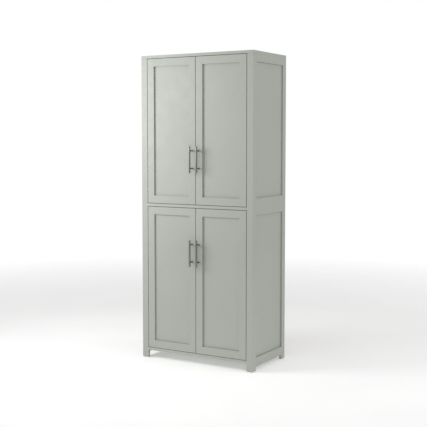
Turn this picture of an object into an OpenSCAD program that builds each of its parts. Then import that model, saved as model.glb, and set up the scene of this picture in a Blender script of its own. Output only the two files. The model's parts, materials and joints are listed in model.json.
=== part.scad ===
// Pantry cabinet: two pairs of inset framed doors, framed sides and loose shelves.
// X runs across the front, -Y is the front, Z is up, and Z = 0 is the floor.
// Depths behind the front face are written v. On a door, u runs from its hinge edge to its free edge.

/* [Body] */
// Overall width
body_w = 711.2; // [600:0.1:900]
// Depth from the front posts' face to the rear edge
body_d = 381; // [370:0.1:480]
// Overall height
body_h = 1701.8; // [1500:0.1:1900]
// Thickness of the boards, the side frames and the posts' face legs
board_t = 16; // [16:0.5:19]
// Height of the bottom board's underside above the floor
plinth_h = 44; // [38:1:50]

/* [Posts and side frames] */
// Width of each front post, seen from the front
post_w = 38; // [38:1:50]
// Width of the front post and of the rear stile, seen from the side
stile_w = 38; // [38:1:50]
// Thickness of the side panels, which are flush with the inside
side_panel_t = 8; // [8:0.5:9]
// Height of the side frame's top rail
top_rail_h = 41; // [38:1:60]
// Height of the side frame's middle rail
mid_rail_h = 90; // [70:1:120]
// Distance from the middle rail's lower edge up to the middle board
mid_rail_drop = 27; // [20:1:40]
// Height of the side's lower edge above the floor
skirt_z = 25; // [15:1:34]
// Height of the side frame's bottom rail
bottom_rail_h = 49; // [45:1:60]
// Thickness of the pads under the feet
glide_t = 2; // [1:0.5:4]

/* [Doors] */
// Thickness of a door frame
door_t = 18; // [18:0.5:20]
// Width of a door frame's stiles
door_stile_w = 42; // [42:1:60]
// Height of a door frame's rails
door_rail_h = 42; // [40:1:60]
// Depth of the door panel behind the frame's face
door_recess = 8; // [5:0.5:9]
// Thickness of the door panel
door_panel_t = 5; // [4:0.5:6]
// Gap above and below each door
gap_v = 2.5; // [2:0.5:3]
// Gap between a door and its post
gap_hinge = 3; // [3:0.5:4]
// Gap between the two doors of a pair
gap_centre = 3; // [2:0.5:4]

/* [Pulls] */
// Distance between a pull's legs
pull_centres = 96; // [64:32:128]
// Overall length of a pull
pull_len = 146; // [140:1:180]
// Diameter of a pull's bar
pull_bar_d = 10; // [9:0.5:12]
// Diameter of a pull's legs
pull_leg_d = 8; // [7:0.5:8]
// Distance from the door's face to the bar's axis
pull_standoff = 27; // [24:1:40]
// Distance from a pull's centre to the door's end beside the middle board
pull_from_end = 245.5; // [150:0.5:300]
// Distance from a pull's axis to the door's free edge
pull_from_edge = 20; // [16:0.5:24]

/* [Hinges] */
// Distance from a door's top or bottom to the nearer hinge's centre
hinge_from_end = 100; // [80:1:140]

/* [Shelves] */
// Thickness of a loose shelf
shelf_t = 16; // [15:0.5:18]
// Number of shelf-pin holes in a row
pin_rows = 5; // [1:2:5]

/* [Hidden] */
DOORS = ["upper_left", "upper_right", "lower_left", "lower_right"];
DOOR_PIECES = ["stiles", "rails", "panel", "pull", "screws", "hinge_cups", "hinge_pins", "strike"];

LEFT = -1;
RIGHT = 1;
SIDES = [LEFT, RIGHT];
LOWER = 0;
UPPER = 1;
LEVELS = [LOWER, UPPER];

PAINT = "#bfc3ba";
SHELF_PAINT = "#c9ccc4";
HARDBOARD = "#b8b3a6";
NICKEL = "#a9a69c";
STEEL = "#b9b9b6";
ZINC = "#8f9193";
PLASTIC = "#e8e8e4";
BEECH = "#d8bf94";

round_fn = 64;
hair = 0.01; // a cut runs this far past the face that it opens

// Carcass
pull_reach = pull_standoff + pull_bar_d / 2;
front_y = (pull_reach - body_d) / 2;
inner_x = body_w / 2 - board_t;
open_x = body_w / 2 - post_w;
rear_v = body_d - stile_w;
top_z = body_h - board_t;
open_h = (top_z - plinth_h - 2 * board_t) / 2;
mid_z = plinth_h + board_t + open_h;
level_z = [plinth_h + board_t, mid_z + board_t];
side_rails_z = [skirt_z, mid_z - mid_rail_drop, top_z - top_rail_h];
side_rails_h = [bottom_rail_h, mid_rail_h, top_rail_h];

// Thin panels, held in grooves
groove = 6;
back_t = 3;
back_v = body_d - 12;

// Doors
door_w = open_x - gap_hinge - gap_centre / 2;
door_h = open_h - 2 * gap_v;
door_z = [for (z = level_z) z + gap_v];
pull_u = door_w - pull_from_edge;
pull_z = [door_h - pull_from_end, pull_from_end];
pull_thread = 8;

// Hinges: a cup let into the door, and a gooseneck arm that the cup's pin turns on
cup_d = 35;
cup_u = 22.5;
cup_depth = 14.4;
cup_wall = 0.8;
flange_d = 38;
flange_t = 1.2;
wing_u = 37.5;
wing_h = 56;
cup_screw_u = 32;
cup_screw_spread = 22.5;
pin_u = 11;
pin_v = 7.5;
pin_d = 3;
pin_play = 0.05;
hinge_z = [hinge_from_end, door_h - hinge_from_end];
arm_w = 13;
arm_t = 2.6;
arm_root_t = 6;
eye_d = 5.4;
neck_u = 25.8;
neck_v = pin_v - eye_d / 2;
return_v = 24;
plate_v = 50;
plate_w = 24;
plate_h = 46;
plate_screw_spread = 16;
batten_w = 62;

// Screws: shank diameter, shank length, head diameter, head height
WOOD_SCREW = [3.5, 14, 7, 1.8];
CUP_SCREW = [3.5, 11, 7, 1.4];
CATCH_SCREW = [3.5, 24, 7, 1.8];
PULL_SCREW = [4, door_t + pull_thread, 8, 2.4];
cross_w = 1;
cross_depth = 0.7; // as a share of the head's height

// Shelves, and the pins under them
shelf_v = board_t + batten_w + 2;
shelf_d = back_v - shelf_v - 2;
shelf_play = 1;
bay_h = (open_h - 2 * shelf_t) / 3;
shelf_pin_d = 5;
shelf_pin_pitch = 32;
shelf_pin_in = 7;
shelf_pin_out = 9;
shelf_pin_v = [shelf_v + 35, back_v - 60];
function shelf_z(level, n) = level_z[level] + n * bay_h + (n - 1) * shelf_t;

// Knock-down fittings, drawn from the face where two boards meet
cam_d = 15;
cam_h = 12.5;
cam_back = 24;
cam_slot = 7;
cam_v = [100, 300];
bolt_d = 5;
dowel_d = 8;
dowel_back = 20;
dowel_v = [60, 200];
side_bore = 9;

// Small hardware
catch_w = 50;
catch_d = 15;
catch_h = 13;
catch_screw_x = 5;
strike_w = 14;
strike_h = 9;
strike_t = 1.5;
strike_from_edge = 8;
strike_from_top = 1;
bracket_w = 20;
bracket_leg = 40;
bracket_t = 2;
bracket_screws = [14, 30];
wall_hole_d = 6;
wall_hole_drop = 24;
glide_d = 13;

// ---- Frames of reference and plain shapes ----

// Children drawn in x, v and z.
module behind_front() {
    translate([0, front_y, 0]) children();
}

// Children drawn on the right, mirrored for the left.
module on_side(side) {
    mirror([side == LEFT ? 1 : 0, 0, 0]) behind_front() children();
}

// Children drawn in a door's own u and v, with z from the door's lower edge.
module on_door(level, side) {
    on_side(side) translate([open_x - gap_hinge, 0, door_z[level]]) mirror([1, 0, 0]) children();
}

module block(from, to) {
    translate(from) cube(to - from);
}

module rod_x(d, from, length) {
    translate(from) rotate([0, 90, 0]) cylinder(d = d, h = length, $fn = round_fn);
}

module rod_v(d, from, length) {
    translate(from) rotate([-90, 0, 0]) cylinder(d = d, h = length, $fn = round_fn);
}

// A screw driven upwards, with its head's underside at z = 0.
module screw(size) {
    difference() {
        union() {
            cylinder(d = size[0], h = size[1], $fn = round_fn);
            translate([0, 0, -size[3]]) cylinder(d = size[2], h = size[3], $fn = round_fn);
        }
        for (turn = [0, 90]) rotate(turn)
            block([-size[2] / 3, -cross_w / 2, -size[3] - hair],
                  [size[2] / 3, cross_w / 2, -size[3] * (1 - cross_depth)]);
    }
}

module screw_bore(size) {
    cylinder(d = size[0], h = size[1], $fn = round_fn);
}

// ---- Side frames ----

module side_panel_boards() {
    for (i = [0, 1])
        block([inner_x, stile_w - groove, side_rails_z[i] + side_rails_h[i] - groove],
              [inner_x + side_panel_t, rear_v + groove, side_rails_z[i + 1] + groove]);
}

// The post is an L in plan: its face leg shows at the front and its side leg at the side.
module front_post(side) {
    color(PAINT) on_side(side) difference() {
        union() {
            block([open_x, 0, glide_t], [body_w / 2, board_t, top_z]);
            block([inner_x, 0, glide_t], [body_w / 2, stile_w, top_z]);
        }
        side_panel_boards();
    }
}

module rear_stile(side) {
    color(PAINT) on_side(side) difference() {
        block([inner_x, rear_v, glide_t], [body_w / 2, body_d, top_z]);
        side_panel_boards();
        back_sheets();
    }
}

module side_rails(side) {
    color(PAINT) on_side(side) difference() {
        for (i = [0:2])
            block([inner_x, stile_w, side_rails_z[i]],
                  [body_w / 2, rear_v, side_rails_z[i] + side_rails_h[i]]);
        side_panel_boards();
        joint_bores();
    }
}

module side_panels(side) {
    color(PAINT) on_side(side) difference() {
        side_panel_boards();
        for (level = LEVELS, n = [1, 2], row = [0:pin_rows - 1], v = shelf_pin_v)
            shelf_pin_bore(v, shelf_z(level, n) + (row - (pin_rows - 1) / 2) * shelf_pin_pitch);
    }
}

// ---- Boards and back ----

module back_sheets() {
    for (level = LEVELS) back_sheet(level);
}

module back_sheet(level) {
    block([-inner_x - groove, back_v, level_z[level] - groove],
          [inner_x + groove, back_v + back_t, level_z[level] + open_h + groove]);
}

// A board lies between the side frames, and its front edge comes forward between the posts.
module carcass_board(z) {
    color(PAINT) difference() {
        behind_front() union() {
            block([-inner_x, board_t, z], [inner_x, body_d, z + board_t]);
            block([-open_x, 0, z], [open_x, body_d, z + board_t]);
        }
        behind_front() back_sheets();
        for (side = SIDES) on_side(side) joint_bores();
        if (z == mid_z) at_catches(LOWER) catch_screw_bores();
    }
}

module top_board() {
    color(PAINT) difference() {
        behind_front() block([-body_w / 2, 0, top_z], [body_w / 2, body_d, body_h]);
        behind_front() back_sheets();
        for (side = SIDES) on_side(side) joint_bores();
        at_catches(UPPER) catch_screw_bores();
        at_bracket_screws() screw_bore(WOOD_SCREW);
    }
}

module back_panel(level) {
    color(HARDBOARD) difference() {
        behind_front() back_sheet(level);
        wall_hole();
    }
}

// ---- Shelves ----

module shelf(level, n) {
    color(SHELF_PAINT) behind_front()
        block([shelf_play - inner_x, shelf_v, shelf_z(level, n)],
              [inner_x - shelf_play, shelf_v + shelf_d, shelf_z(level, n) + shelf_t]);
}

module shelf_pin_bore(v, shelf_under_z) {
    rod_x(shelf_pin_d, [inner_x - hair, v, shelf_under_z - shelf_pin_d / 2], shelf_pin_in + hair);
}

module shelf_pins() {
    color(STEEL) for (side = SIDES, level = LEVELS, n = [1, 2], v = shelf_pin_v) on_side(side)
        rod_x(shelf_pin_d, [inner_x - shelf_pin_out, v, shelf_z(level, n) - shelf_pin_d / 2],
              shelf_pin_out + shelf_pin_in);
}

// ---- Knock-down fittings ----

// Children drawn with the bolt along +X, the joint at x = 0 and the cam's open face towards -Z.
// Under the top board the side frame holds the cams, so X and Z change places.
module at_joints() {
    for (z = [plinth_h, mid_z]) translate([inner_x, 0, z + board_t / 2]) children();
    translate([inner_x + board_t / 2, 0, top_z]) mirror([1, 0, -1]) children();
}

module cams() {
    for (v = cam_v) translate([-cam_back, v, -board_t / 2])
        cylinder(d = cam_d, h = cam_h, $fn = round_fn);
}

module bolts(d) {
    for (v = cam_v) rod_x(d, [-cam_back, v, 0], cam_back + side_bore);
}

module pegs() {
    for (v = dowel_v) rod_x(dowel_d, [-dowel_back, v, 0], dowel_back + side_bore);
}

module joint_bores() {
    at_joints() {
        cams();
        bolts(bolt_d);
        pegs();
    }
}

module cam_locks() {
    color(ZINC) for (side = SIDES) on_side(side) at_joints() difference() {
        cams();
        bolts(cam_slot);
    }
}

module cam_bolts() {
    color(STEEL) for (side = SIDES) on_side(side) at_joints() bolts(bolt_d);
}

module dowels() {
    color(BEECH) for (side = SIDES) on_side(side) at_joints() pegs();
}

// ---- Doors ----

module door_panel_board() {
    block([door_stile_w - groove, door_recess, door_rail_h - groove],
          [door_w - door_stile_w + groove, door_recess + door_panel_t, door_h - door_rail_h + groove]);
}

module cup_bores() {
    for (z = hinge_z) rod_v(cup_d, [cup_u, door_t - cup_depth, z], cup_depth + hair);
}

module door_stiles(level, side) {
    color(PAINT) on_door(level, side) difference() {
        for (u = [0, door_w - door_stile_w]) block([u, 0, 0], [u + door_stile_w, door_t, door_h]);
        door_panel_board();
        cup_bores();
        at_cup_screws() screw_bore(CUP_SCREW);
        at_pull_screws(level) screw_bore(PULL_SCREW);
    }
}

module door_rails(level, side) {
    color(PAINT) on_door(level, side) difference() {
        for (z = [0, door_h - door_rail_h])
            block([door_stile_w, 0, z], [door_w - door_stile_w, door_t, z + door_rail_h]);
        door_panel_board();
    }
}

// The hinge cups' bores clip the panel's edge where it lies in its groove.
module door_panel(level, side) {
    color(PAINT) on_door(level, side) difference() {
        door_panel_board();
        cup_bores();
    }
}

// ---- Pulls ----

module at_pull_screws(level) {
    for (leg = [-1, 1])
        translate([pull_u, door_t, pull_z[level] + leg * pull_centres / 2])
            rotate([90, 0, 0]) children();
}

module pull(level, side) {
    color(NICKEL) on_door(level, side) difference() {
        union() {
            translate([pull_u, -pull_standoff, pull_z[level] - pull_len / 2])
                cylinder(d = pull_bar_d, h = pull_len, $fn = round_fn);
            for (leg = [-1, 1])
                rod_v(pull_leg_d, [pull_u, -pull_standoff, pull_z[level] + leg * pull_centres / 2],
                      pull_standoff);
        }
        at_pull_screws(level) screw_bore(PULL_SCREW);
    }
}

module door_screws(level, side) {
    color(STEEL) on_door(level, side) {
        at_pull_screws(level) screw(PULL_SCREW);
        at_cup_screws() screw(CUP_SCREW);
    }
}

// ---- Hinges ----

module at_cup_screws() {
    for (z = hinge_z, end = [-1, 1])
        translate([cup_screw_u, door_t + flange_t, z + end * cup_screw_spread])
            rotate([90, 0, 0]) children();
}

module hinge_cups(level, side) {
    color(ZINC) on_door(level, side) difference() {
        for (z = hinge_z) {
            rod_v(cup_d, [cup_u, door_t - cup_depth, z], cup_depth + flange_t);
            rod_v(flange_d, [cup_u, door_t, z], flange_t);
            block([cup_u, door_t, z - wing_h / 2], [wing_u, door_t + flange_t, z + wing_h / 2]);
        }
        for (z = hinge_z)
            rod_v(cup_d - 2 * cup_wall, [cup_u, door_t - cup_depth + cup_wall, z], cup_depth + flange_t);
        pins();
        at_cup_screws() screw_bore(CUP_SCREW);
    }
}

// Each pin ends flush with the outside of its cup.
module pins() {
    for (z = hinge_z) intersection() {
        translate([pin_u, pin_v, z - cup_d / 2]) cylinder(d = pin_d, h = cup_d, $fn = round_fn);
        rod_v(cup_d, [cup_u, door_t - cup_depth, z], cup_depth);
    }
}

module hinge_pins(level, side) {
    color(STEEL) on_door(level, side) pins();
}

// The arm runs from its eye on the pin, across the cup and out of it, and back to the plate.
module arm_outline() {
    difference() {
        union() {
            translate([pin_u, pin_v]) circle(d = eye_d, $fn = round_fn);
            polygon([
                [pin_u, neck_v], [neck_u + arm_t, neck_v], [neck_u + arm_t, return_v + arm_t],
                [arm_root_t, return_v + arm_t], [arm_root_t, plate_v + plate_w], [0, plate_v + plate_w],
                [0, return_v], [neck_u, return_v], [neck_u, neck_v + arm_t], [pin_u, neck_v + arm_t]
            ]);
        }
        translate([pin_u, pin_v]) circle(d = pin_d + 2 * pin_play, $fn = round_fn);
    }
}

module each_hinge() {
    for (side = SIDES, level = LEVELS) on_door(level, side)
        for (z = hinge_z) translate([0, 0, z]) children();
}

module hinge_arms() {
    color(ZINC) each_hinge() translate([0, 0, -arm_w / 2]) linear_extrude(arm_w) arm_outline();
}

module at_plate_screws() {
    for (end = [-1, 1])
        translate([0, plate_v + plate_w / 2, end * plate_screw_spread]) rotate([0, -90, 0]) children();
}

module hinge_plates() {
    color(ZINC) each_hinge() difference() {
        block([-gap_hinge, plate_v, -plate_h / 2], [0, plate_v + plate_w, plate_h / 2]);
        at_plate_screws() screw_bore(WOOD_SCREW);
    }
}

module hinge_battens() {
    color(PAINT) difference() {
        for (side = SIDES, z = level_z) on_side(side)
            block([open_x, board_t, z], [inner_x, board_t + batten_w, z + open_h]);
        each_hinge() at_plate_screws() screw_bore(WOOD_SCREW);
    }
}

// ---- Catches ----

module at_catches(level) {
    behind_front() translate([0, door_t + strike_t + 0.5, level_z[level] + open_h - catch_h]) children();
}

module at_catch_screws() {
    for (side = SIDES) translate([side * catch_screw_x, catch_d / 2, 0]) children();
}

module catch_screw_bores() {
    at_catch_screws() screw_bore(CATCH_SCREW);
}

module door_catches() {
    color(PLASTIC) for (level = LEVELS) at_catches(level) difference() {
        block([-catch_w / 2, 0, 0], [catch_w / 2, catch_d, catch_h]);
        catch_screw_bores();
    }
}

module strike(level, side) {
    color(STEEL) on_door(level, side)
        block([door_w - strike_from_edge - strike_w, door_t, door_h - strike_from_top - strike_h],
              [door_w - strike_from_edge, door_t + strike_t, door_h - strike_from_top]);
}

// ---- Wall bracket, glides and screws ----

module wall_hole() {
    behind_front()
        rod_v(wall_hole_d, [0, back_v - bracket_t - hair, top_z - wall_hole_drop], back_t + bracket_t + 2 * hair);
}

module at_bracket_screws() {
    behind_front() for (v = bracket_screws) translate([0, back_v - v, top_z - bracket_t]) children();
}

module anti_tip_bracket() {
    color(STEEL) difference() {
        behind_front() {
            block([-bracket_w / 2, back_v - bracket_leg, top_z - bracket_t], [bracket_w / 2, back_v, top_z]);
            block([-bracket_w / 2, back_v - bracket_t, top_z - bracket_leg], [bracket_w / 2, back_v, top_z]);
        }
        wall_hole();
        at_bracket_screws() screw_bore(WOOD_SCREW);
    }
}

module foot_glides() {
    color(PLASTIC) for (side = SIDES, v = [stile_w / 2, body_d - stile_w / 2]) on_side(side)
        translate([body_w / 2 - board_t / 2, v, 0]) cylinder(d = glide_d, h = glide_t, $fn = round_fn);
}

module fixing_screws() {
    color(STEEL) {
        each_hinge() at_plate_screws() screw(WOOD_SCREW);
        at_bracket_screws() screw(WOOD_SCREW);
        for (level = LEVELS) at_catches(level) at_catch_screws() screw(CATCH_SCREW);
    }
}

// ---- Nodes ----

front_post(LEFT);  // left_front_post
front_post(RIGHT);  // right_front_post
rear_stile(LEFT);  // left_rear_stile
rear_stile(RIGHT);  // right_rear_stile
side_rails(LEFT);  // left_side_rails
side_rails(RIGHT);  // right_side_rails
side_panels(LEFT);  // left_side_panels
side_panels(RIGHT);  // right_side_panels
top_board();
carcass_board(mid_z);  // middle_board
carcass_board(plinth_h);  // bottom_board
back_panel(UPPER);  // upper_back_panel
back_panel(LOWER);  // lower_back_panel
shelf(UPPER, 2);  // upper_shelf_high
shelf(UPPER, 1);  // upper_shelf_low
shelf(LOWER, 2);  // lower_shelf_high
shelf(LOWER, 1);  // lower_shelf_low
shelf_pins();
hinge_battens();
hinge_plates();
hinge_arms();
fixing_screws();
door_catches();
cam_locks();
cam_bolts();
dowels();
anti_tip_bracket();
foot_glides();
door_stiles(UPPER, LEFT);  // upper_left_stiles
door_rails(UPPER, LEFT);  // upper_left_rails
door_panel(UPPER, LEFT);  // upper_left_panel
pull(UPPER, LEFT);  // upper_left_pull
door_screws(UPPER, LEFT);  // upper_left_screws
hinge_cups(UPPER, LEFT);  // upper_left_hinge_cups
hinge_pins(UPPER, LEFT);  // upper_left_hinge_pins
strike(UPPER, LEFT);  // upper_left_strike
door_stiles(UPPER, RIGHT);  // upper_right_stiles
door_rails(UPPER, RIGHT);  // upper_right_rails
door_panel(UPPER, RIGHT);  // upper_right_panel
pull(UPPER, RIGHT);  // upper_right_pull
door_screws(UPPER, RIGHT);  // upper_right_screws
hinge_cups(UPPER, RIGHT);  // upper_right_hinge_cups
hinge_pins(UPPER, RIGHT);  // upper_right_hinge_pins
strike(UPPER, RIGHT);  // upper_right_strike
door_stiles(LOWER, LEFT);  // lower_left_stiles
door_rails(LOWER, LEFT);  // lower_left_rails
door_panel(LOWER, LEFT);  // lower_left_panel
pull(LOWER, LEFT);  // lower_left_pull
door_screws(LOWER, LEFT);  // lower_left_screws
hinge_cups(LOWER, LEFT);  // lower_left_hinge_cups
hinge_pins(LOWER, LEFT);  // lower_left_hinge_pins
strike(LOWER, LEFT);  // lower_left_strike
door_stiles(LOWER, RIGHT);  // lower_right_stiles
door_rails(LOWER, RIGHT);  // lower_right_rails
door_panel(LOWER, RIGHT);  // lower_right_panel
pull(LOWER, RIGHT);  // lower_right_pull
door_screws(LOWER, RIGHT);  // lower_right_screws
hinge_cups(LOWER, RIGHT);  // lower_right_hinge_cups
hinge_pins(LOWER, RIGHT);  // lower_right_hinge_pins
strike(LOWER, RIGHT);  // lower_right_strike
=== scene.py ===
"""Looks for the pantry cabinet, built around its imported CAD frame. Lengths are metres."""

import json
import math

import bmesh
import bpy
from mathutils import Matrix, Vector

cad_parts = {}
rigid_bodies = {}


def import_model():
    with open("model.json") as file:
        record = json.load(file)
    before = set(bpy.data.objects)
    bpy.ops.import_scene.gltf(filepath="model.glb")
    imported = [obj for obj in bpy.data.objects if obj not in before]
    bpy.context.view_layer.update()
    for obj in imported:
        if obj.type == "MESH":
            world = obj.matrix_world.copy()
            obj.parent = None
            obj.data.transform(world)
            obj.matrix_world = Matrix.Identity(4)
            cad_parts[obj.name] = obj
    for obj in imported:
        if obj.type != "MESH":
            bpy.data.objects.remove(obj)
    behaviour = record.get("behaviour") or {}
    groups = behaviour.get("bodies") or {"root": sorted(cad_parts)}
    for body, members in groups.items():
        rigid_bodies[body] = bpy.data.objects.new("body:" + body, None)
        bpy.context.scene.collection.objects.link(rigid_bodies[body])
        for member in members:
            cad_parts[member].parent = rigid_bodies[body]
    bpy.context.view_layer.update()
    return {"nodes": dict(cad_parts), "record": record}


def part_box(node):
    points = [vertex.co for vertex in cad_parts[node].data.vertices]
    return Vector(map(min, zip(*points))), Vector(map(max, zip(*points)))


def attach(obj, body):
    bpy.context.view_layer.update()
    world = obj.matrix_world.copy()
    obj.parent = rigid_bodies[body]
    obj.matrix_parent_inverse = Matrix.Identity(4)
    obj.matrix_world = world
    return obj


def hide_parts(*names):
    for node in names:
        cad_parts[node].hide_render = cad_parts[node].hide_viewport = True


for spare in list(bpy.data.objects):
    bpy.data.objects.remove(spare)

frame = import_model()

MM = 0.001
DOORS = ("upper_left", "upper_right", "lower_left", "lower_right")
CARCASS = "carcass"


def add_object(name, data):
    made = bpy.data.objects.new(name, data)
    bpy.context.scene.collection.objects.link(made)
    return made


# ---- Materials ----

def rgb(red, green, blue):
    """A colour given as it looks on a screen, 0 to 255, as the linear values that Blender uses."""
    def linear(level):
        share = level / 255
        return share / 12.92 if share <= 0.04045 else ((share + 0.055) / 1.055) ** 2.4
    return (linear(red), linear(green), linear(blue), 1)


def shaded(tone, factor):
    return tuple(factor * c for c in tone[:3]) + (1,)


class Surface:
    """A Principled material whose colour, roughness and bump come from textures in object space."""

    def __init__(self, name, **values):
        self.material = bpy.data.materials.new(name)
        self.material.use_nodes = True
        self.tree = self.material.node_tree
        self.shader = self.tree.nodes["Principled BSDF"]
        self.coordinates = self.add("ShaderNodeTexCoord").outputs
        self.normal = None
        for socket, value in values.items():
            self.shader.inputs[socket].default_value = value

    def add(self, kind, **inputs):
        node = self.tree.nodes.new(kind)
        for socket, value in inputs.items():
            self.feed(node.inputs[socket], value)
        return node

    def feed(self, socket, value):
        if isinstance(value, bpy.types.NodeSocket):
            self.tree.links.new(value, socket)
        else:
            socket.default_value = value

    def noise(self, size, stretch=(1, 1, 1), detail=3.0, roughness=0.5):
        """Noise with features about size across, longer along an axis whose stretch is above 1."""
        mapping = self.add("ShaderNodeMapping", Vector=self.coordinates["Object"])
        mapping.inputs["Scale"].default_value = [1 / (size * s) for s in stretch]
        node = self.add("ShaderNodeTexNoise", Vector=mapping.outputs["Vector"], Scale=1.0,
                        Detail=detail, Roughness=roughness)
        return node.outputs["Fac"]

    def remap(self, value, low, high, start=0.3, end=0.7):
        """value from start..end becomes low..high."""
        node = self.add("ShaderNodeMapRange", Value=value)
        for socket, number in (("From Min", start), ("From Max", end), ("To Min", low), ("To Max", high)):
            node.inputs[socket].default_value = number
        return node.outputs["Result"]

    def blend(self, share, first, second):
        """The colour first where share is 0, second where it is 1."""
        node = self.tree.nodes.new("ShaderNodeMix")
        node.data_type = "RGBA"
        self.feed(node.inputs["Factor"], share)
        for socket, colour in zip([s for s in node.inputs if s.type == "RGBA"], (first, second)):
            self.feed(socket, colour)
        return next(s for s in node.outputs if s.type == "RGBA")

    def tinted(self, value, tone, dark, light):
        """tone times dark where value is low, and times light where it is high."""
        return self.blend(self.remap(value, 0, 1), shaded(tone, dark), shaded(tone, light))

    def flecked(self, value, ground, fleck, share, **span):
        """ground, with up to that share of fleck over it where value is high."""
        return self.blend(self.remap(value, 0, share, **span), ground, fleck)

    def above(self, value, threshold):
        """1 where value is above the threshold, 0 elsewhere."""
        node = self.tree.nodes.new("ShaderNodeMath")
        node.operation = "GREATER_THAN"
        self.feed(node.inputs[0], value)
        self.feed(node.inputs[1], threshold)
        return node.outputs[0]

    def bump(self, height, depth):
        """Raises the surface by depth where height goes from 0 to 1, on top of any earlier bump."""
        node = self.add("ShaderNodeBump", Height=height, Distance=depth)
        if self.normal:
            self.feed(node.inputs["Normal"], self.normal)
        self.normal = node.outputs["Normal"]
        self.feed(self.shader.inputs["Normal"], self.normal)

    def colour(self, value):
        self.feed(self.shader.inputs["Base Color"], value)

    def roughness(self, value):
        self.feed(self.shader.inputs["Roughness"], value)


PAINT_TONE = rgb(173, 177, 169)
BARE_HARDBOARD = rgb(134, 104, 74)


def satin_paint(name, tone):
    """Sprayed satin paint: a slow drift in tone, a fine stipple and faint waves in the film."""
    s = Surface(name)
    drift = s.noise(size=0.45, detail=2.0)
    grain = s.noise(size=0.9 * MM, detail=2.0)
    drifting = s.tinted(drift, tone, dark=0.965, light=1.03)
    s.colour(s.flecked(grain, drifting, shaded(tone, 0.93), share=0.35))
    s.roughness(s.remap(s.noise(size=0.06), low=0.45, high=0.57))
    s.bump(s.noise(size=28 * MM, detail=1.0), depth=0.05 * MM)
    s.bump(s.noise(size=2.2 * MM, detail=2.0), depth=0.06 * MM)
    return s.material


def laminate(name, tone):
    """Printed shelf laminate: a short embossed fibre that runs along the shelf."""
    s = Surface(name)
    fibre = s.noise(size=1.4 * MM, stretch=(14, 1, 1), detail=4.0, roughness=0.65)
    cloud = s.noise(size=0.25, detail=2.0)
    clouded = s.tinted(cloud, tone, dark=0.97, light=1.02)
    s.colour(s.flecked(fibre, clouded, shaded(tone, 0.92), share=0.5))
    s.roughness(s.remap(fibre, low=0.38, high=0.52))
    s.bump(fibre, depth=0.05 * MM)
    return s.material


def hardboard(name, tone):
    """Painted on the side that faces into the cabinet, bare pressed fibre on the side that faces out."""
    s = Surface(name)
    fibre = s.noise(size=2.5 * MM, stretch=(3, 1, 1), detail=6.0, roughness=0.7)
    cloud = s.noise(size=0.12, detail=3.0)
    clouded = s.tinted(cloud, BARE_HARDBOARD, dark=0.88, light=1.1)
    bare = s.flecked(fibre, clouded, shaded(BARE_HARDBOARD, 0.55), share=0.7, start=0.5, end=0.75)
    painted = s.flecked(fibre, tone, shaded(tone, 0.93), share=0.4)
    direction = s.add("ShaderNodeSeparateXYZ", Vector=s.coordinates["Normal"])
    outside = s.above(direction.outputs["Y"], 0.5)
    s.colour(s.blend(outside, painted, bare))
    s.roughness(s.remap(outside, low=0.5, high=0.78, start=0, end=1))
    s.bump(fibre, depth=0.08 * MM)
    return s.material


def beech(name):
    """Bare beech: pores and rings along the peg's length."""
    s = Surface(name)
    ring = s.noise(size=1.6 * MM, stretch=(8, 1, 1), detail=3.0)
    pore = s.noise(size=0.35 * MM, stretch=(10, 1, 1), detail=2.0)
    ringed = s.blend(s.remap(ring, 0, 1), rgb(216, 178, 128), rgb(190, 146, 98))
    s.colour(s.flecked(pore, ringed, rgb(146, 104, 66), share=0.5, start=0.55, end=0.75))
    s.roughness(s.remap(ring, low=0.55, high=0.7))
    s.bump(pore, depth=0.03 * MM)
    return s.material


def brushed_metal(name, tone, stretch, roughness, score):
    """Metal with fine brush lines that run along the axis whose stretch is largest."""
    s = Surface(name, Metallic=1.0)
    line = s.noise(size=0.22 * MM, stretch=stretch, detail=3.0, roughness=0.6)
    cloud = s.noise(size=9 * MM, detail=2.0)
    lined = s.tinted(line, tone, dark=0.95, light=1.04)
    s.colour(s.flecked(cloud, lined, shaded(tone, 0.95), share=0.4))
    s.roughness(s.remap(line, *roughness))
    s.bump(line, depth=score)
    return s.material


def moulded_plastic(name, tone):
    """Moulded plastic: a fine spark-eroded grain."""
    s = Surface(name)
    grain = s.noise(size=0.5 * MM, detail=2.0)
    s.colour(s.flecked(grain, tone, shaded(tone, 0.93), share=0.4))
    s.roughness(s.remap(s.noise(size=6 * MM), low=0.42, high=0.55))
    s.bump(grain, depth=0.02 * MM)
    return s.material


MATERIALS = {
    "painted_board": satin_paint("satin_paint", PAINT_TONE),
    "shelf_board": laminate("shelf_laminate", PAINT_TONE),
    "hardboard": hardboard("backing_hardboard", PAINT_TONE),
    "beech": beech("bare_beech"),
    "brushed_nickel": brushed_metal("satin_nickel", rgb(142, 143, 139), stretch=(1, 1, 30),
                                    roughness=(0.35, 0.47), score=0.003 * MM),
    "steel": brushed_metal("zinc_plated_steel", rgb(196, 197, 194), stretch=(6, 6, 1),
                           roughness=(0.34, 0.44), score=0.0015 * MM),
    "zinc": brushed_metal("nickel_plated_zinc", rgb(192, 192, 190), stretch=(1, 1, 12),
                          roughness=(0.3, 0.38), score=0.001 * MM),
    "white_plastic": moulded_plastic("moulded_plastic", rgb(226, 226, 220)),
}

SLOTS = {row["node"]: row["material_slot"] for row in frame["record"]["subparts"]}


# ---- CAD nodes: softened edges and materials ----

BOARD_EDGE = 0.8 * MM
SMALL_EDGE = 0.35 * MM  # metal pieces, pins and glides
CUP_EDGE = 0.25 * MM
SHORTEST_EDGE = 2.5 * MM  # shorter edges belong to the rims of bores
POSITION_STEP = 0.01 * MM  # corners closer than this are one corner
SHARP_COSINE = 0.7  # where the cosine between two normals is above this, the faces meet smoothly
RIM_ANGLE = math.radians(40)

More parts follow.
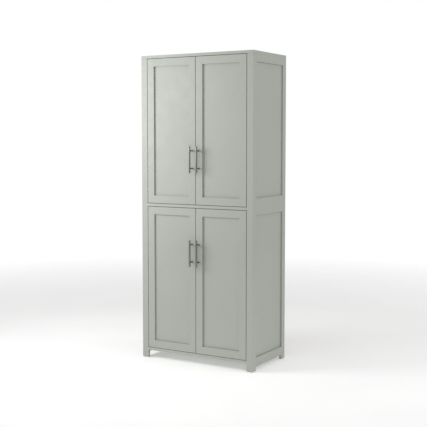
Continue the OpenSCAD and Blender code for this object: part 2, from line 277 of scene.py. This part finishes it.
# Shares of the edge radius for the edges that run along X, Y and Z, and the nodes they are for
SEAM = 0.25  # where two boards meet
ALL_EDGES = (1, 1, 1)
EDGE_SHARES = {
    ALL_EDGES: ["left_front_post", "right_front_post", "left_rear_stile", "right_rear_stile", "top_board",
                "upper_shelf_high", "upper_shelf_low", "lower_shelf_high", "lower_shelf_low",
                "door_catches"] + [door + "_stiles" for door in DOORS],
    (1, SEAM, SEAM): ["middle_board", "bottom_board"] + [door + "_rails" for door in DOORS],
    (SEAM, 1, SEAM): ["left_side_rails", "right_side_rails"],
    (SEAM, SEAM, 1): ["hinge_battens"],
}


def add_bevel(node, radius, segments):
    """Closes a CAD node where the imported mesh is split, and rounds it, with modifiers only."""
    weld = frame["nodes"][node].modifiers.new("join_faces", "WELD")
    weld.merge_threshold = POSITION_STEP
    bevel = frame["nodes"][node].modifiers.new("soft_edges", "BEVEL")
    bevel.width = radius
    bevel.segments = segments
    bevel.harden_normals = True
    return bevel


def soften(node, radius, shares):
    """Rounds a CAD node's long convex edges. Its own mesh stays as packed."""
    mesh = frame["nodes"][node].data
    spots = [tuple(round(c / POSITION_STEP) for c in vertex.co) for vertex in mesh.vertices]
    faces = {}
    for polygon in mesh.polygons:
        for key in polygon.edge_keys:
            faces.setdefault(frozenset(spots[i] for i in key), []).append(polygon)
    weights = mesh.attributes.new("bevel_weight_edge", "FLOAT", "EDGE")
    sharp = mesh.attributes.get("sharp_edge") or mesh.attributes.new("sharp_edge", "BOOLEAN", "EDGE")
    for edge in mesh.edges:
        sides = faces[frozenset(spots[i] for i in edge.vertices)]
        if len(sides) != 2 or sides[0].normal.dot(sides[1].normal) > SHARP_COSINE:
            continue
        first, second = (mesh.vertices[i].co for i in edge.vertices)
        run = second - first
        convex = (sides[1].center - sides[0].center).dot(sides[0].normal) < 0
        if convex and run.length > SHORTEST_EDGE:
            along = max(range(3), key=lambda axis: abs(run[axis]))
            weights.data[edge.index].value = shares[along]
        else:
            sharp.data[edge.index].value = True
    bevel = add_bevel(node, radius, segments=3)
    bevel.limit_method = "WEIGHT"
    bevel.use_clamp_overlap = False


def soften_rims(node, radius):
    """Rounds every sharp edge of a small CAD node, its round rims among them."""
    bevel = add_bevel(node, radius, segments=2)
    bevel.limit_method = "ANGLE"
    bevel.angle_limit = RIM_ANGLE


for name, node in frame["nodes"].items():
    node.data.materials.clear()
    node.data.materials.append(MATERIALS[SLOTS[name]])
for shares, names in EDGE_SHARES.items():
    for name in names:
        soften(name, BOARD_EDGE, shares)
for name in ("hinge_plates", "hinge_arms", "anti_tip_bracket"):
    soften(name, SMALL_EDGE, ALL_EDGES)
for name in ("foot_glides", "shelf_pins"):
    soften_rims(name, SMALL_EDGE)
for door in DOORS:
    soften_rims(door + "_strike", SMALL_EDGE)
    soften_rims(door + "_hinge_cups", CUP_EDGE)


# ---- Mesh tools ----

TURN_STEPS = 48


def to_mesh(name, bm):
    mesh = bpy.data.meshes.new(name)
    bm.to_mesh(mesh)
    bm.free()
    return mesh


def make_mesh(name, build):
    bm = bmesh.new()
    build(bm)
    bmesh.ops.recalc_face_normals(bm, faces=bm.faces)
    return to_mesh(name, bm)


def joined(node):
    """A copy of a CAD node's mesh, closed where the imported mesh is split."""
    bm = bmesh.new()
    bm.from_mesh(frame["nodes"][node].data)
    bmesh.ops.remove_doubles(bm, verts=bm.verts, dist=POSITION_STEP)
    return bm


def solids(node):
    """The lowest and highest corners of each separate solid in a CAD node."""
    bm = joined(node)
    boxes = []
    waiting = set(bm.verts)
    while waiting:
        front = [waiting.pop()]
        corners = []
        while front:
            vert = front.pop()
            corners.append(vert.co.copy())
            near = {edge.other_vert(vert) for edge in vert.link_edges} & waiting
            waiting -= near
            front.extend(near)
        low, high = (Vector([pick(c[i] for c in corners) for i in range(3)]) for pick in (min, max))
        boxes.append((low, high))
    bm.free()
    return sorted(boxes, key=lambda box: tuple(box[0]))


def combined(first, second, operation):
    """The union or the difference of two meshes, as a new mesh."""
    tool = add_object("tool", second)
    base = add_object("base", first)
    modifier = base.modifiers.new("combine", "BOOLEAN")
    modifier.operation = operation
    modifier.solver = "EXACT"
    modifier.object = tool
    bpy.context.view_layer.update()
    mesh = bpy.data.meshes.new_from_object(base.evaluated_get(bpy.context.evaluated_depsgraph_get()))
    for o in (tool, base):
        bpy.data.objects.remove(o)
    return mesh


def facing(point, direction):
    """Puts a shape drawn around +Z at a point, with its +Z turned to a direction."""
    return Matrix.Translation(point) @ Vector(direction).to_track_quat("Z", "Y").to_matrix().to_4x4()


def turned(bm, profile, place):
    """Adds a closed solid of revolution. profile is (radius, height) from pole to pole."""
    angles = [2 * math.pi * i / TURN_STEPS for i in range(TURN_STEPS)]
    rings = []
    for radius, height in profile:
        points = [Vector((radius * math.cos(a), radius * math.sin(a), height)) for a in angles]
        rings.append([bm.verts.new(place @ point) for point in (points if radius else points[:1])])
    for lower, upper in zip(rings, rings[1:]):
        for i in range(TURN_STEPS):
            path = ((lower, i), (lower, i + 1), (upper, i + 1), (upper, i))
            face = list(dict.fromkeys(ring[step % len(ring)] for ring, step in path))
            if len(face) > 2:
                bm.faces.new(face).smooth = True


def rounded_rod(radius, length, fillet, steps=5):
    """Profile of a rod from z = 0 to length, with rounded rims."""
    arc = [(radius - fillet + fillet * math.sin(a), fillet - fillet * math.cos(a))
           for a in (math.pi / 2 * i / steps for i in range(steps + 1))]
    return [(0, 0)] + arc + [(r, length - z) for r, z in reversed(arc)] + [(0, length)]


def domed_head(radius, height, root, steps=6):
    """Profile of a domed screw head from z = -root to height."""
    arc = [(radius * math.cos(a), height * math.sin(a))
           for a in (math.radians(90 * i / steps) for i in range(steps))]
    return [(0, -root), (radius, -root)] + arc + [(0, height)]


def cross(bm, place, reach, width, depth):
    """Adds a cross-shaped prism from z = -depth to depth."""
    half = width / 2
    quarter = [(reach, -half), (reach, half), (half, half)]
    outline = [Matrix.Rotation(math.radians(90 * turn), 2) @ Vector(corner)
               for turn in range(4) for corner in quarter]
    lower, upper = ([bm.verts.new(place @ Vector((p.x, p.y, z))) for p in outline] for z in (-depth, depth))
    bm.faces.new(lower)
    bm.faces.new(upper)
    for i in range(len(outline)):
        j = (i + 1) % len(outline)
        bm.faces.new((lower[i], lower[j], upper[j], upper[i]))


def rounded_block(bm, low, high, radius):
    made = bmesh.ops.create_cube(bm, size=1)["verts"]
    place = Matrix.Translation((low + high) / 2) @ Matrix.Diagonal((*(high - low), 1))
    bmesh.ops.transform(bm, verts=made, matrix=place)
    edges = list(dict.fromkeys(edge for vert in made for edge in vert.link_edges))
    bmesh.ops.bevel(bm, geom=edges, offset=radius, segments=2, affect="EDGES", profile=0.5)


# ---- Pieces made here ----

def new_piece(name, mesh, slot, body):
    piece = add_object(name, mesh)
    mesh.materials.append(MATERIALS[slot])
    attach(piece, body)
    return piece


# Pulls: a bar with rounded ends on two legs
BAR_D = 10 * MM
BAR_FILLET = 0.9 * MM
LEG_D = 8 * MM
LEG_FILLET = 0.4 * MM
LEG_CENTRES = 96 * MM
LEG_TURN = Matrix.Rotation(math.radians(90), 4, "X")  # turns +Z to -Y


def make_pull(door):
    low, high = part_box(door + "_pull")
    middle = (low + high) / 2
    bar_foot = Vector((middle.x, low.y + BAR_D / 2, low.z))

    def build_bar(bm):
        turned(bm, rounded_rod(BAR_D / 2, high.z - low.z, BAR_FILLET), Matrix.Translation(bar_foot))

    def build_legs(bm):
        for side in (-1, 1):
            base = Vector((middle.x, high.y, middle.z + side * LEG_CENTRES / 2))
            profile = rounded_rod(LEG_D / 2, high.y - bar_foot.y, LEG_FILLET)
            turned(bm, profile, Matrix.Translation(base) @ LEG_TURN)

    bar_and_legs = combined(make_mesh("bar", build_bar), make_mesh("legs", build_legs), "UNION")
    pull = new_piece(door + "_bar_pull", bar_and_legs, "brushed_nickel", door + "_door")
    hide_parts(door + "_pull")


for door in DOORS:
    make_pull(door)


# Cams: each gets the cross recess that a screwdriver turns it by
CAM_CROSS = {"reach": 4.6 * MM, "width": 1.8 * MM, "depth": 2.2 * MM}


def build_cam_crosses(bm):
    for low, high in solids("cam_locks"):
        middle = (low + high) / 2
        if high.x - low.x > high.z - low.z:
            place = facing((middle.x, middle.y, low.z), (0, 0, -1))
        else:
            inwards = -math.copysign(1, middle.x)
            place = facing((middle.x + inwards * (high.x - low.x) / 2, middle.y, middle.z), (inwards, 0, 0))
        cross(bm, place, **CAM_CROSS)


plain_cams = to_mesh("cam_locks", joined("cam_locks"))
cut_cams = combined(plain_cams, make_mesh("crosses", build_cam_crosses), "DIFFERENCE")
cams = new_piece("cam_locks_with_recesses", cut_cams, "zinc", CARCASS)
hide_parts("cam_locks")


# Adjusting screws on the root of each hinge arm
ARM_ROOT = 6 * MM  # thickness of the arm's root
SCREWS_FROM_REAR = (9 * MM, 22 * MM)
SCREW_HEIGHT = 1.3 * MM
SCREW_HEAD = {"radius": 3.6 * MM, "height": SCREW_HEIGHT, "root": 0.2 * MM}
SCREW_CROSS = {"reach": 2.4 * MM, "width": 0.9 * MM, "depth": 0.9 * MM}


def at_adjusting_screws():
    for low, high in solids("hinge_arms"):
        inwards = -math.copysign(1, low.x + high.x)
        outer = low.x if inwards > 0 else high.x
        for back in SCREWS_FROM_REAR:
            yield facing((outer + inwards * ARM_ROOT, high.y - back, (low.z + high.z) / 2), (inwards, 0, 0))


def build_adjusting_screws(bm):
    for place in at_adjusting_screws():
        turned(bm, domed_head(**SCREW_HEAD), place)


def build_adjusting_crosses(bm):
    for place in at_adjusting_screws():
        cross(bm, place @ Matrix.Translation((0, 0, SCREW_HEIGHT)), **SCREW_CROSS)


cut_screws = combined(make_mesh("heads", build_adjusting_screws),
                      make_mesh("crosses", build_adjusting_crosses), "DIFFERENCE")
new_piece("hinge_adjusting_screws", cut_screws, "steel", CARCASS)


# Pole plates that stand out of the face of each magnetic catch, opposite the doors' strikes
POLE_W = 1.6 * MM
POLE_PROUD = 0.25 * MM
POLE_MARGIN = 1.5 * MM
POLE_EDGE = 0.15 * MM


def build_poles(bm):
    strikes = [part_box(door + "_strike") for door in DOORS]
    for low, high in solids("door_catches"):
        for strike_low, strike_high in strikes:
            if not low.z < (strike_low.z + strike_high.z) / 2 < high.z:
                continue
            for x in (strike_low.x + POLE_MARGIN, strike_high.x - POLE_MARGIN):
                front = Vector((x - POLE_W / 2, low.y - POLE_PROUD, low.z + POLE_MARGIN))
                back = Vector((x + POLE_W / 2, low.y + POLE_W, high.z - POLE_MARGIN))
                rounded_block(bm, front, back, POLE_EDGE)


new_piece("catch_pole_plates", make_mesh("catch_pole_plates", build_poles), "steel", CARCASS)


# ---- Floor, light and camera ----

FLOOR_GLOW = 0.28  # the floor's own light
FLOOR_FADE = (1.8, 4.5)  # the floor fades out between these distances
FLOOR_REACH = 5
FLOOR_CORNERS = 96


def build_floor(bm):
    bmesh.ops.create_circle(bm, cap_ends=True, radius=FLOOR_REACH, segments=FLOOR_CORNERS)


def floor_material():
    """Matt pale floor that fades into the background with distance from the object."""
    s = Surface("studio_floor", **{"Emission Color": (1, 1, 1, 1), "Emission Strength": FLOOR_GLOW})
    cloud = s.remap(s.noise(size=0.4, detail=2.0), 0, 1)
    s.colour(s.blend(cloud, rgb(240, 240, 240), rgb(244, 244, 243)))
    s.roughness(s.remap(s.noise(size=0.05), low=0.7, high=0.85))
    distance = s.add("ShaderNodeVectorMath", Vector=s.coordinates["Object"])
    distance.operation = "LENGTH"
    clear = s.tree.nodes.new("ShaderNodeBsdfTransparent")
    mix = s.tree.nodes.new("ShaderNodeMixShader")
    s.feed(mix.inputs[0], s.remap(distance.outputs["Value"], 0, 1, *FLOOR_FADE))
    s.feed(mix.inputs[1], s.shader.outputs["BSDF"])
    s.feed(mix.inputs[2], clear.outputs["BSDF"])
    s.feed(s.tree.nodes["Material Output"].inputs["Surface"], mix.outputs["Shader"])
    return s.material


floor = add_object("studio_floor", make_mesh("studio_floor", build_floor))
floor.data.materials.append(floor_material())

top_low, top_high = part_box("top_board")
centre_line = Vector(((top_low.x + top_high.x) / 2, (top_low.y + top_high.y) / 2, 0))


def around(azimuth, distance, height):
    """A point that far from the cabinet's upright centre line. Azimuth 0 is in front, 90 towards +X."""
    a = math.radians(azimuth)
    return centre_line + Vector((distance * math.sin(a), -distance * math.cos(a), height))


def softbox(name, azimuth, distance, height, aim_height, size, power):
    lamp = bpy.data.lights.new(name, "AREA")
    lamp.shape = "RECTANGLE"
    lamp.size = size
    lamp.size_y = size
    lamp.energy = power
    holder = add_object(name, lamp)
    holder.location = around(azimuth, distance, height)
    aim = centre_line + Vector((0, 0, aim_height))
    holder.rotation_euler = (aim - holder.location).to_track_quat("-Z", "Y").to_euler()
    holder.visible_camera = False


softbox("key_softbox", azimuth=-47, distance=1.8, height=1.5, aim_height=1.25, size=0.9, power=22.5)
softbox("side_fill", azimuth=100, distance=3.0, height=2.2, aim_height=1.5, size=2.0, power=28)
softbox("overhead", azimuth=20, distance=1.3, height=3.2, aim_height=0.9, size=2.0, power=9)

ROOM_LIGHT = 0.45  # strength of the background as a light
BACKDROP = 1.0  # strength of the background as the camera sees it

world = bpy.data.worlds.new("studio")
world.use_nodes = True
backdrop = world.node_tree.nodes["Background"]
backdrop.inputs["Color"].default_value = (1, 1, 1, 1)
camera_ray = world.node_tree.nodes.new("ShaderNodeLightPath").outputs["Is Camera Ray"]
strength = world.node_tree.nodes.new("ShaderNodeMapRange")
strength.inputs["To Min"].default_value = ROOM_LIGHT
strength.inputs["To Max"].default_value = BACKDROP
world.node_tree.links.new(camera_ray, strength.inputs["Value"])
world.node_tree.links.new(strength.outputs["Result"], backdrop.inputs["Strength"])
bpy.context.scene.world = world
bpy.context.scene.view_settings.view_transform = "Standard"

CAMERA_AZIMUTH = 30.9
CAMERA_DISTANCE = 5.041
CAMERA_HEIGHT = 1.232
CAMERA_PITCH = 4.238
CAMERA_LENS = 75.67
CAMERA_SHIFT = -0.015

camera = add_object("camera", bpy.data.cameras.new("camera"))
camera.data.lens = CAMERA_LENS
camera.data.shift_y = CAMERA_SHIFT
camera.location = around(CAMERA_AZIMUTH, CAMERA_DISTANCE, CAMERA_HEIGHT)
camera.rotation_euler = (math.radians(90 - CAMERA_PITCH), 0, math.radians(CAMERA_AZIMUTH))
bpy.context.scene.camera = camera
